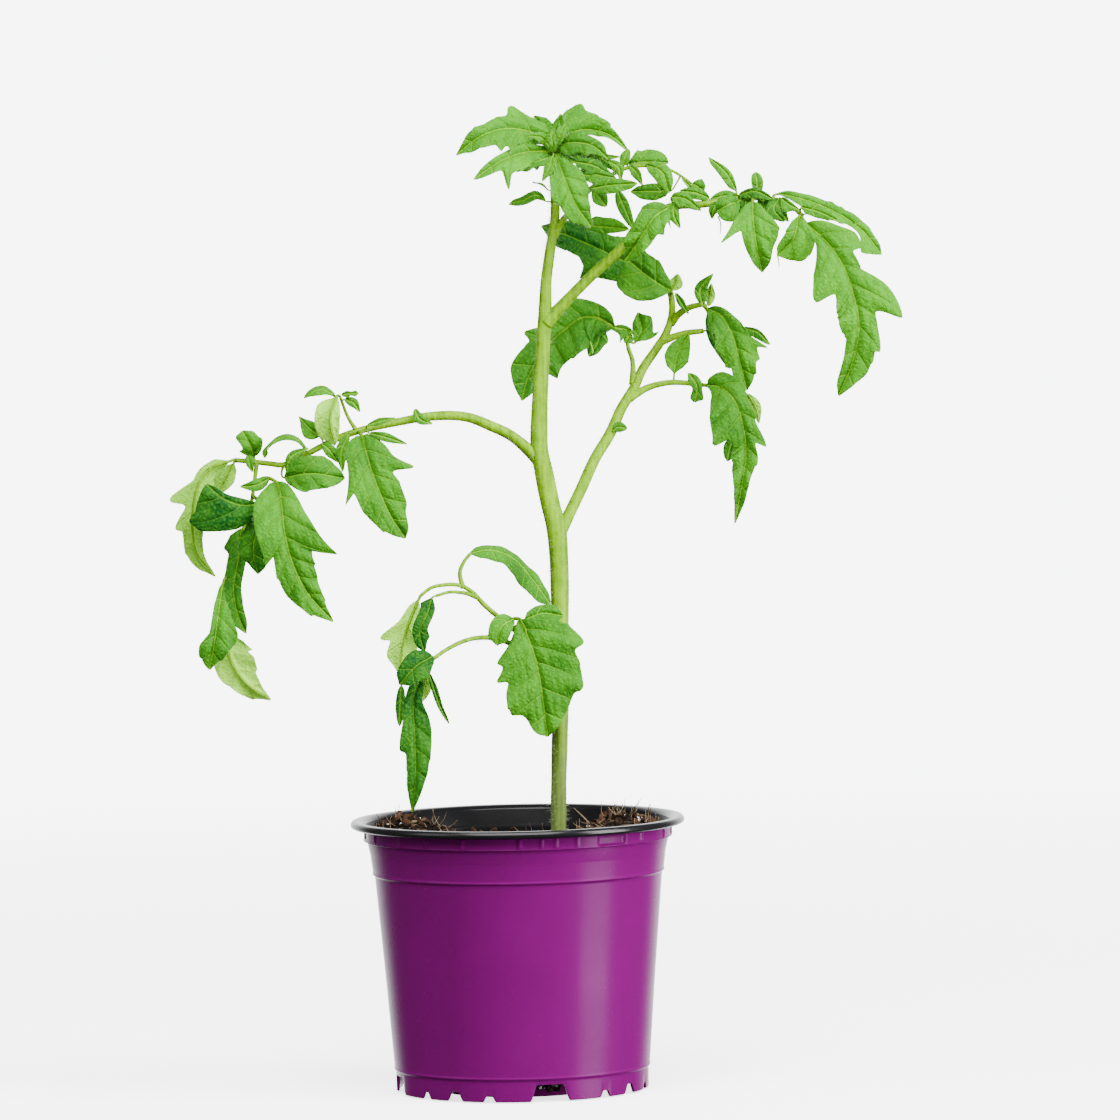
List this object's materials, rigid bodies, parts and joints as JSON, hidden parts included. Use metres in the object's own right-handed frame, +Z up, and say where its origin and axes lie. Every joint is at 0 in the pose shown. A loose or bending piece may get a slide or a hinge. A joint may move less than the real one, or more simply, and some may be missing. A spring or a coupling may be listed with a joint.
{
  "type": "potted tomato plant",
  "caption": "Young tomato plant with arching compound leaves, growing in a round tapered nursery pot of peat-based potting soil.",
  "frame": {"origin": "centre of the pot's flat resting base, on the surface it stands on", "axes": "+X to the plant's right, +Y away from the front, +Z up along the pot's axis"},
  "size_m": [0.2576, 0.12, 0.3528],
  "materials": {
    "purple_plastic": "smooth semi-gloss injection-moulded polypropylene, purple outside",
    "black_plastic": "black moulded polypropylene of the pot's rim and inside",
    "peat": "loose dark brown peat with tan fibres, bark chips and a few white grains",
    "stem_skin": "satin, finely haired green stem skin, browner at the foot",
    "leaf_skin": "satin green leaf, puckered between sunken veins, paler below"
  },
  "bodies": {
    "root": {"pot": "purple_plastic", "potting_soil": "peat", "stem": "stem_skin", "left_petiole": "stem_skin", "upper_petiole": "stem_skin", "right_petiole": "stem_skin", "lower_petiole": "stem_skin", "lowest_petiole": "stem_skin", "young_petiole": "stem_skin", "left_leaflet_01": "leaf_skin", "left_leaflet_02": "leaf_skin", "left_leaflet_03": "leaf_skin", "left_leaflet_05": "leaf_skin", "left_leaflet_06": "leaf_skin", "left_leaflet_07": "leaf_skin", "left_leaflet_08": "leaf_skin", "left_leaflet_09": "leaf_skin", "left_leaflet_10": "leaf_skin", "left_leaflet_11": "leaf_skin", "left_leaflet_12": "leaf_skin", "left_leaflet_14": "leaf_skin", "left_leaflet_15": "leaf_skin", "left_leaflet_16": "leaf_skin", "left_leaflet_17": "leaf_skin", "front_leaflet_01": "leaf_skin", "front_leaflet_03": "leaf_skin", "lower_leaflet_01": "leaf_skin", "lower_leaflet_02": "leaf_skin", "lower_leaflet_03": "leaf_skin", "lowest_leaflet_01": "leaf_skin", "lowest_leaflet_02": "leaf_skin", "right_leaflet_01": "leaf_skin", "right_leaflet_03": "leaf_skin", "right_leaflet_05": "leaf_skin", "right_leaflet_06": "leaf_skin", "right_leaflet_07": "leaf_skin", "right_leaflet_09": "leaf_skin", "right_leaflet_10": "leaf_skin", "right_leaflet_12": "leaf_skin", "right_leaflet_14": "leaf_skin", "right_leaflet_17": "leaf_skin", "upper_leaflet_01": "leaf_skin", "upper_leaflet_04": "leaf_skin", "upper_leaflet_06": "leaf_skin", "upper_leaflet_08": "leaf_skin", "upper_leaflet_10": "leaf_skin", "upper_leaflet_11": "leaf_skin", "upper_leaflet_12": "leaf_skin", "upper_leaflet_14": "leaf_skin", "top_leaflet_01": "leaf_skin", "top_leaflet_02": "leaf_skin", "top_leaflet_03": "leaf_skin", "top_leaflet_04": "leaf_skin", "top_leaflet_05": "leaf_skin", "young_leaflet_02": "leaf_skin", "young_leaflet_03": "leaf_skin", "young_leaflet_05": "leaf_skin", "young_leaflet_08": "leaf_skin", "young_leaflet_10": "leaf_skin", "young_leaflet_11": "leaf_skin"}
  },
  "joints": []
}
